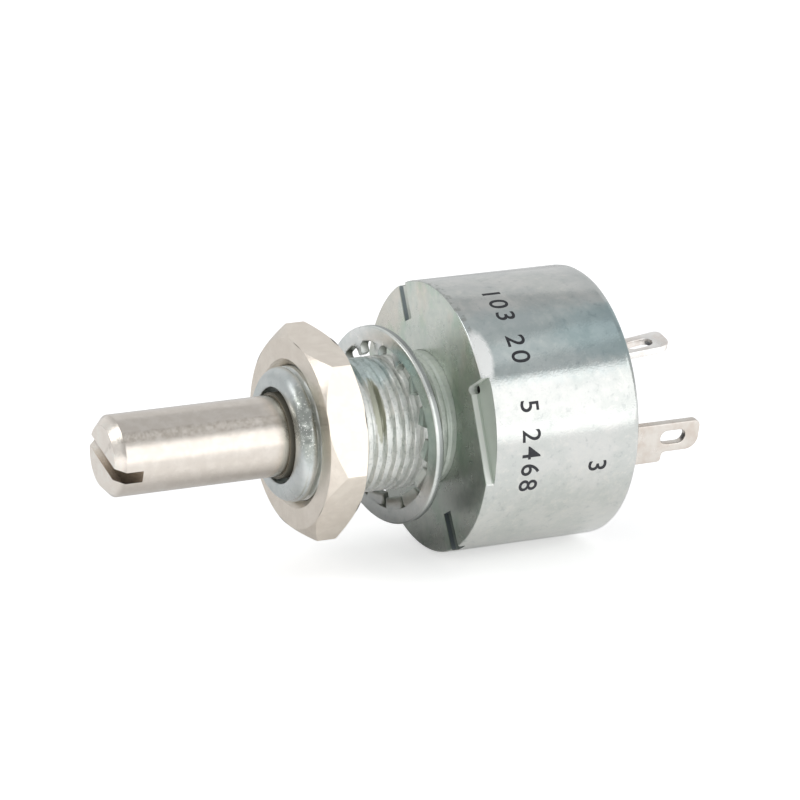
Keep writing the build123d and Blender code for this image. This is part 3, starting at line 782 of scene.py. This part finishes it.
def recess(turn):
    """The cutters of a side recess and of the hole in its corner."""
    inner_r, outer_r = CASE_R - RECESS_REACH, CASE_R * 1.3
    outline = [
        flat_point(inner_r, RECESS_START + turn), flat_point(outer_r, RECESS_START + turn),
        flat_point(outer_r, RECESS_END + turn), flat_point(CASE_R, RECESS_END + turn),
    ]
    hole_angle = RECESS_START + turn + degrees(asin(KEY_HOLE_D / 2 / inner_r))
    hole = round_outline(*flat_point(inner_r, hole_angle), KEY_HOLE_D / 2)
    recess_cutter = prism("recess", outline, CUT_FROM, -RECESS_DEPTH)
    return [recess_cutter, prism("key_hole", hole, CUT_FROM * 1.2, -KEY_HOLE_DEPTH)]


def thread_r(x, angle):
    """The thread's radius at a place and an angle: worn flat crests and narrow rounded grooves."""
    phase = (x / THREAD_PITCH + angle / 360) % 1.0
    off_crest = abs(phase - 0.5) * 2
    sunk = min(1.0, max(0.0, (off_crest - THREAD_CREST) / THREAD_FLANK))
    into, out = (x - THREAD_START) / THREAD_FADE, (THREAD_END - x) / THREAD_FADE
    fade = min(1.0, max(0.0, into), max(0.25, out))
    return BUSHING_R - THREAD_DEPTH * sunk * sunk * (3 - 2 * sunk) * fade


def near(x, turn, spot):
    """1 at the middle of a spot on the round side, falling to 0 at its reach and spread."""
    aside = (turn - spot.angle + 180) % 360 - 180
    return max(0.0, 1 - ((x - spot.at) / spot.reach) ** 2 - (aside / spot.spread) ** 2)


def bushing_r(x, turn):
    """The bushing's knocked and worn outside, rounded over at the nose."""
    point = place(x, BUSHING_R, turn)
    coarse, fine = noise.noise(point * 500), noise.noise(point * 1700)
    wear = WEAR + KNOCK_DEPTH * max(0.0, coarse - 0.25) + PIT_DEPTH * max(0.0, fine)
    wear += NICK_DEPTH * near(x, turn, NOSE_NICK) * max(0.0, 0.5 + coarse + fine)
    flat = WORN_FLAT * max(near(x, turn, spot) for spot in WORN_SPOTS)
    into_nose = max(0.0, x - BUSHING_REACH + NOSE_ROUND)
    nose = BUSHING_R - NOSE_ROUND + sqrt(NOSE_ROUND ** 2 - min(into_nose, NOSE_ROUND) ** 2)
    return min(nose, BUSHING_R + (thread_r(x, turn) - BUSHING_R) * (1 - flat)) - wear


def bushing():
    """The bushing with its rolled thread, rounded nose, mouth, bore and staked flange."""
    turns = full_turn(SEGMENTS)
    length = BUSHING_REACH + FACE_WALL
    rows = floor(length * THREAD_ROWS / THREAD_PITCH)
    places = [-FACE_WALL + length * row / rows for row in range(rows + 1)]
    rings = [[place(x, bushing_r(x, turn), turn) for turn in turns] for x in places]
    inside = softened([
        (BUSHING_REACH, BUSHING_R - NOSE_ROUND, 0), (BUSHING_REACH, MOUTH_R, MOUTH_ROUND),
        (BUSHING_REACH - MOUTH_DEPTH, MOUTH_R, 0), (BUSHING_REACH - MOUTH_DEPTH, BORE_R, 0),
        (FLANGE_BACK, BORE_R, 0), (FLANGE_BACK, FLANGE_R, FLANGE_ROUND),
        (-FACE_WALL, FLANGE_R, 0),
    ])
    rings += [[place(x, r, turn) for turn in turns] for x, r in inside[1:]]
    mesh = skin("threaded_bushing", rings)
    piece_from("threaded_bushing", mesh, bushing_zinc(), "housing", "zinc_plated_bushing", "bushing")


def hex_r(angle):
    """The radius of the nut's hexagon at an angle, with its corners rounded."""
    off_corner = abs((angle - NUT_ANGLE) % 60 - 30)
    centre = (NUT_APOTHEM - NUT_CORNER_ROUND) / cos(radians(30))
    aside = centre * sin(radians(off_corner))
    if aside > NUT_CORNER_ROUND / 2:
        return NUT_APOTHEM / cos(radians(30 - off_corner))
    return centre * cos(radians(off_corner)) + sqrt(NUT_CORNER_ROUND ** 2 - aside ** 2)


def nut_side(angle, share, chamfer):
    """A point's radius and its fall behind a nut face, at a share of the way out over the chamfer."""
    r = NUT_FACE_R + (hex_r(angle) - NUT_FACE_R) * share
    return r, max(0.0, r - NUT_FACE_R) * tan(radians(chamfer))


def hex_nut():
    """The nut: a hexagon with turned chamfers on both faces and a countersunk bore."""
    turns = [NUT_ANGLE + 30 + 60 * step / NUT_SIDE_STEPS for step in range(6 * NUT_SIDE_STEPS)]
    rings = []
    for row in range(NUT_ROWS + 1):
        edge = [(turn, *nut_side(turn, row / NUT_ROWS, NUT_FRONT_CHAMFER)) for turn in turns]
        rings.append([place(NUT_FACE - fall, r, turn) for turn, r, fall in edge])
    for row in range(1, NUT_ROWS):
        ring = []
        for turn in turns:
            front = NUT_FACE - nut_side(turn, 1.0, NUT_FRONT_CHAMFER)[1]
            back = NUT_BACK + nut_side(turn, 1.0, NUT_REAR_CHAMFER)[1]
            ring.append(place(front + (back - front) * row / NUT_ROWS, hex_r(turn), turn))
        rings.append(ring)
    for row in range(NUT_ROWS, -1, -1):
        edge = [(turn, *nut_side(turn, row / NUT_ROWS, NUT_REAR_CHAMFER)) for turn in turns]
        rings.append([place(NUT_BACK + fall, r, turn) for turn, r, fall in edge])
    mouth_r = NUT_BORE_R + NUT_COUNTERSINK
    inside = [
        (NUT_BACK, mouth_r), (NUT_BACK + NUT_COUNTERSINK, NUT_BORE_R),
        (NUT_FACE - NUT_COUNTERSINK, NUT_BORE_R), (NUT_FACE, mouth_r),
    ]
    rings += [[place(x, r, turn) for turn in turns] for x, r in inside]
    mesh = skin("panel_nut", rings)
    piece = piece_from("panel_nut", mesh, nut_nickel(), "nut", "nickel_nut", "hex_nut")
    ease_edges(piece, NUT_EASE, 3)


def tooth_blade(angle):
    """One twisted tooth, from inside the rim to its tip."""
    rim_in, turn = WASHER_R - WASHER_RIM, radians(angle)
    stations = [
        (rim_in + 0.35, 0.0), (rim_in, 0.15), (rim_in - 0.18, 0.75), (rim_in - 0.4, 1.0),
        (TOOTH_TIP_R + 0.12, 1.0), (TOOTH_TIP_R, 1.0),
    ]
    rings = []
    for r, share in stations:
        narrowing = min(1.0, max(0.0, (rim_in - r) / (rim_in - TOOTH_TIP_R)))
        half = (TOOTH_ROOT + (TOOTH_TIP - TOOTH_ROOT) * narrowing) / 2
        thick = WASHER_THICK / 2 * (0.8 if r == TOOTH_TIP_R else 0.98)
        twist = radians(TOOTH_TWIST * share)
        ring = []
        for side, height in ((-half, -thick), (half, -thick), (half, thick), (-half, thick)):
            beside = side * cos(twist) - height * sin(twist)
            along = -side * sin(twist) - height * cos(twist)
            across, up = r * sin(turn) + beside * cos(turn), r * cos(turn) - beside * sin(turn)
            ring.append(Vector((along, across, up)) * MM)
        rings.append(ring)
    return skin("tooth", rings, looped=False)


def lock_washer():
    """The toothed washer: a rounded rim and twisted inner teeth, leaning as it hangs on the thread."""
    half, rim_in = WASHER_THICK / 2, WASHER_R - WASHER_RIM
    rim = turned("toothed_washer", [
        (half, rim_in, WASHER_INNER_ROUND), (half, WASHER_R, WASHER_OUTER_ROUND),
        (-half, WASHER_R, WASHER_OUTER_ROUND), (-half, rim_in, WASHER_INNER_ROUND),
    ])
    whole = bmesh.new()
    whole.from_mesh(rim)
    for angle in full_turn(WASHER_TEETH):
        whole.from_mesh(tooth_blade(angle))
    whole.to_mesh(rim)
    whole.free()
    rim.transform(Matrix.Translation(Vector(WASHER_AT) * MM) @ washer_lean())
    piece = piece_from("toothed_washer", rim, washer_zinc(), "washer", "zinc_washer", "lock_washer")
    ease_edges(piece)


def shaft():
    """The turned shaft with a slotted, chamfered tip and a slightly larger journal in the bushing."""
    tip, shoulder = SHAFT_REACH, BUSHING_REACH + JOURNAL_STAND
    seal_back, seal_front, seal_r = SEAL_GROOVE
    clip_back, clip_front, clip_r = CLIP_GROOVE
    rod = turned("slotted_shaft", [
        (tip, 0, 0), (tip, SHAFT_R - TIP_CHAMFER, 0.08), (tip - TIP_CHAMFER, SHAFT_R, 0.1),
        (shoulder, SHAFT_R, 0), (shoulder, JOURNAL_R, 0.02), (seal_front, JOURNAL_R, 0),
        (seal_front, seal_r, 0), (seal_back, seal_r, 0), (seal_back, JOURNAL_R, 0),
        (clip_front, JOURNAL_R, 0), (clip_front, clip_r, 0), (clip_back, clip_r, 0),
        (clip_back, ROTOR_SEAT_R, 0), (ROTOR_SEAT_BACK, ROTOR_SEAT_R, 0), (ROTOR_SEAT_BACK, TAIL_R, 0),
        (SHAFT_BACK, TAIL_R, 0), (SHAFT_BACK, 0, 0),
    ], SHAFT_SEGMENTS)
    along, beside = flat_point(SHAFT_R * 2, SLOT_ANGLE), flat_point(SLOT_WIDTH / 2, SLOT_ANGLE + 90)
    outline = [
        (along[0] * a + beside[0] * b, along[1] * a + beside[1] * b)
        for a, b in ((-1, -1), (1, -1), (1, 1), (-1, 1))
    ]
    rod = cut(rod, prism("slot", outline, tip + CUT_FROM, tip - SLOT_DEPTH))
    piece = piece_from("slotted_shaft", rod, shaft_nickel(), "spindle", "nickel_shaft", "shaft")
    ease_edges(piece)


def arc(centre, radius, start, end, steps=8):
    """Points of an arc in a flat pattern."""
    turns = [radians(start + (end - start) * step / steps) for step in range(steps + 1)]
    return [(centre[0] + radius * cos(turn), centre[1] + radius * sin(turn)) for turn in turns]


def lug_pattern(side):
    """A lug's flat outline and its eye, as (across, depth) points, with the step on the given side."""
    half, bend = LUG_WIDTH / 2, LUG_STEP_ROUND
    foot, step, tip = -SUBSTRATE_BACK, -CASE_BACK + LUG_STEP_REACH, -CASE_BACK + LUG_REACH
    neck = LUG_NECK - half
    first, second = LUG_CORNERS if side > 0 else reversed(LUG_CORNERS)
    outline = [(-half, foot), (half, foot)]
    outline += arc((half - bend, step - bend), bend, 0, 90, 4)
    outline += arc((neck + bend, step + bend), bend, 270, 180, 4)
    outline += arc((neck - second, tip - second), second, 0, 90)
    outline += arc((first - half, tip - first), first, 90, 180)
    middle, reach = (LUG_NECK / 2 - half), -CASE_BACK + EYE_REACH
    straight = (EYE_LENGTH - EYE_WIDTH) / 2
    eye = arc((middle, reach + straight), EYE_WIDTH / 2, 0, 180)
    eye += arc((middle, reach - straight), EYE_WIDTH / 2, 180, 360)
    return [[(side * across, depth) for across, depth in loop] for loop in (outline, eye)]


def terminal(index):
    """One solder lug, punched from strip with eased edges, and bent where it leaves the case."""
    flat = bpy.data.curves.new("lug_pattern", "CURVE")
    flat.dimensions = "2D"
    flat.fill_mode = "BOTH"
    flat.extrude = (LUG_THICK / 2 - LUG_EDGE) * MM
    flat.bevel_depth = LUG_EDGE * MM
    flat.bevel_resolution = 2
    flat.offset = -LUG_EDGE * MM
    for loop in lug_pattern(LUG_SIDES[index]):
        spline = flat.splines.new("POLY")
        spline.points.add(len(loop) - 1)
        for spot, (across, depth) in zip(spline.points, loop):
            spot.co = (across * MM, depth * MM, 0, 1)
        spline.use_cyclic_u = True
    mesh = mesh_of(flat, f"solder_lug_{index + 1}")
    turn = radians(LUG_ANGLES[index])
    slope = tan(radians(LUG_BENDS[index]))
    for vertex in mesh.vertices:
        across, depth, out = vertex.co / MM
        across += LUG_SHIFTS[index]
        r = LUG_FACES[index] - LUG_THICK / 2 + out + max(0.0, depth + CASE_BACK) * slope
        beside, up = r * sin(turn) + across * cos(turn), r * cos(turn) - across * sin(turn)
        vertex.co = Vector((-depth, beside, up)) * MM
    look = tinned_brass(f"tinned_lug_{index + 1}", LUG_TONES_MIDDLE_LIT[index])
    piece_from(mesh.name, mesh, look, "housing", "tinned_lug", f"terminal_{index + 1}")


def printed(name, text, x, middle, ink):
    """Printed digits on the case's side, reading round it, with their tops toward the lugs."""
    words = bpy.data.curves.new(name, "FONT")
    words.body = text
    words.size = DIGIT_SIZE * MM
    words.align_x = "CENTER"
    words.align_y = "CENTER"
    words.extrude = PRINT_THICK / 2 * MM
    words.space_character = PRINT_SPACING
    words.offset = PRINT_BOLD * DIGIT_SIZE * MM
    mesh = mesh_of(words, name)
    for vertex in mesh.vertices:
        along, up, out = vertex.co / MM
        turn = middle + degrees(along / SKIN_R)
        vertex.co = place(x - up, SKIN_R + PRINT_THICK / 2 + out, turn)
    piece_from(name, mesh, ink, "housing", "zinc_plated_case")


def dress_inner():
    """Finishes for the CAD pieces that stay as they are."""
    looks = {
        "dark_moulding": moulded("dark_moulding", (0.035, 0.035, 0.04)),
        "resin": moulded("epoxy_resin", (0.03, 0.035, 0.045), 0.25),
        "rubber": moulded("rubber", (0.02, 0.02, 0.02), 0.7),
        "ceramic": moulded("ceramic", (0.78, 0.76, 0.72), 0.5),
        "carbon": moulded("carbon_film", (0.03, 0.03, 0.03), 0.45),
        "silver": metal("silver_film", (0.72, 0.71, 0.68), 0.35),
        "bronze": metal("spring_bronze", (0.66, 0.44, 0.26)),
        "steel": metal("plain_steel", (0.45, 0.45, 0.45)),
    }
    wearers = {
        "dark_moulding": ("base", "rotor", "spacer_ring"), "resin": ("sealing_resin",),
        "rubber": ("shaft_seal", "base_seal"), "ceramic": ("substrate",), "carbon": ("resistance_track",),
        "silver": ("collector_track", "end_leads", "terminal_rivets"), "bronze": ("wiper",),
        "steel": ("stop_pin", "thrust_washer", "retaining_clip"),
    }
    for look, names in wearers.items():
        for name in names:
            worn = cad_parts[name].data.materials
            worn.clear()
            worn.append(looks[look])


def camera():
    """The photograph's viewpoint."""
    data = bpy.data.cameras.new("camera")
    data.lens = LENS
    data.sensor_width = SENSOR
    data.clip_start, data.clip_end = CLIP
    eye = bpy.data.objects.new("camera", data)
    forward = Vector(SIGHT).normalized()
    right = forward.cross(Vector((0, 0, 1))).normalized()
    up = right.cross(forward)
    turn = Matrix((right, up, -forward)).transposed().to_4x4()
    eye.matrix_world = Matrix.Translation(EYE) @ turn
    bpy.context.scene.collection.objects.link(eye)
    bpy.context.scene.camera = eye


def panel(name, position, target, width, height, radiance):
    """A rectangular studio light of an even brightness, aimed at a point."""
    data = bpy.data.lights.new(name, "AREA")
    data.shape = "RECTANGLE"
    data.size, data.size_y = width, height
    data.energy = radiance * pi * width * height
    lamp = bpy.data.objects.new(name, data)
    aim = Vector(target) - Vector(position)
    lamp.matrix_world = Matrix.Translation(position) @ aim.to_track_quat("-Z", "Y").to_matrix().to_4x4()
    bpy.context.scene.collection.objects.link(lamp)


def glowing(paint, colour, strength):
    """The floor's own shader: pale and dull, with a glow of a colour."""
    values = {"Base Color": FLOOR_PALE, "Roughness": FLOOR_ROUGH, "Emission Color": colour}
    return paint.add("ShaderNodeBsdfPrincipled", {}, {**values, "Emission Strength": strength})


def pale_floor():
    """The floor's look: white with a faint shadow for the camera, and a painted glow, stronger in front,
    standing in for more light thrown back.
    """
    paint = Paint("pale_floor")
    # Painted glow on the floor, stronger toward the front
    ahead = (paint.y - paint.x * 0.2).ramp(-0.002, 0.008, 0.0, 0.42) + paint.y.ramp(0.05, 0.07, 0.0, 0.55)
    seen = paint.add("ShaderNodeLightPath", {}, [], "Is Camera Ray")
    lit, white = glowing(paint, ahead, 1.0), glowing(paint, WHITE, 0.5)
    both = paint.add("ShaderNodeMixShader", {}, [seen, lit, white])
    paint.show(both, "Material Output", "Principled BSDF")
    return paint.material


def floor_plane():
    """The pale floor, a flat square just under the case."""
    height = -CASE_R * MM - FLOOR_GAP
    signs = ((-1, -1), (1, -1), (1, 1), (-1, 1))
    corners = [(along * FLOOR_HALF, across * FLOOR_HALF, height) for along, across in signs]
    mesh = bpy.data.meshes.new("floor")
    mesh.from_pydata(corners, [], [(0, 1, 2, 3)])
    mesh.materials.append(pale_floor())
    piece = bpy.data.objects.new("floor", mesh)
    bpy.context.scene.collection.objects.link(piece)


def studio():
    """White surroundings and soft panels; the rows give each panel's place, target, size and radiance."""
    world = bpy.data.worlds.new("studio")
    bpy.context.scene.world = world
    world.use_nodes = True
    sky = Nodes(world.node_tree)
    room = sky.add("ShaderNodeBackground", {}, {"Color": ROOM_COLOUR, "Strength": ROOM_STRENGTH})
    white = sky.add("ShaderNodeBackground", {}, {"Color": WHITE})
    seen = sky.add("ShaderNodeLightPath", {}, [], "Is Camera Ray")
    sky.show(sky.add("ShaderNodeMixShader", {}, [seen, room, white]), "World Output", "Background")
    middle = (WALL_TOP + WALL_LOW) / 2
    panel("front_wall", (-0.4266, 0.792, middle), (0, 0, middle), 1.5, WALL_TOP - WALL_LOW, 0.95)
    panel("back_wall", (-0.37, -0.72, 0.42), (0, 0, 0), 1.6, 0.75, 0.15)
    panel("top_strip", (-0.386, 0.356, 0.73), (0, 0, 0), 0.6, 0.2, 0.22)
    panel("key_panel", (0.75, -0.1, 0.75), (0, 0, 0), 0.5, 0.5, 2.0)


camera()
studio()
floor_plane()
case()
bushing()
hex_nut()
lock_washer()
shaft()
for lug in range(len(LUG_ANGLES)):
    terminal(lug)
ink = marking_ink()
for mark in MARKS:
    printed(*mark, ink)
dress_inner()
bpy.context.scene.view_settings.view_transform = "Standard"
